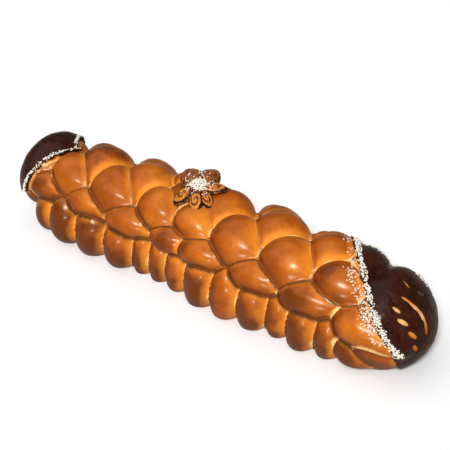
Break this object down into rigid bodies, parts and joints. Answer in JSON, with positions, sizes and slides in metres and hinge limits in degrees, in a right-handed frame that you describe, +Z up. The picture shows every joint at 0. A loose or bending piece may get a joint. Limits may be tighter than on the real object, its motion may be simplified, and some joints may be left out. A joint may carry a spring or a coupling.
{
  "type": "braided challah loaf",
  "caption": "Long festive braided challah with a glossy golden crust, a dark slit leaf of dough edged with white seed over each end, and a rolled-dough flower on top.",
  "frame": {"origin": "on the floor plane under the loaf, on its middle line, 30 mm towards the narrow end from the middle of its length", "axes": "+X along the loaf towards its plump end, +Z up out of the crown, -Y towards the side that the picture shows"},
  "size_m": [0.7774, 0.206, 0.1838],
  "materials": {
    "crust": "glossy egg-washed bread crust, caramel brown with pale stretched creases",
    "dark_dough": "very dark glossy baked dough",
    "rolled_dough": "satin golden brown dough with dark scorched ridges",
    "white_seed": "matt white sesame seed"
  },
  "bodies": {
    "root": {"loaf": "crust", "leaf_near": "dark_dough", "leaf_far": "dark_dough", "petal_1": "rolled_dough", "petal_2": "rolled_dough", "petal_3": "rolled_dough", "petal_4": "rolled_dough", "petal_5": "rolled_dough", "petal_6": "rolled_dough", "flower_heap": "white_seed"}
  },
  "joints": []
}
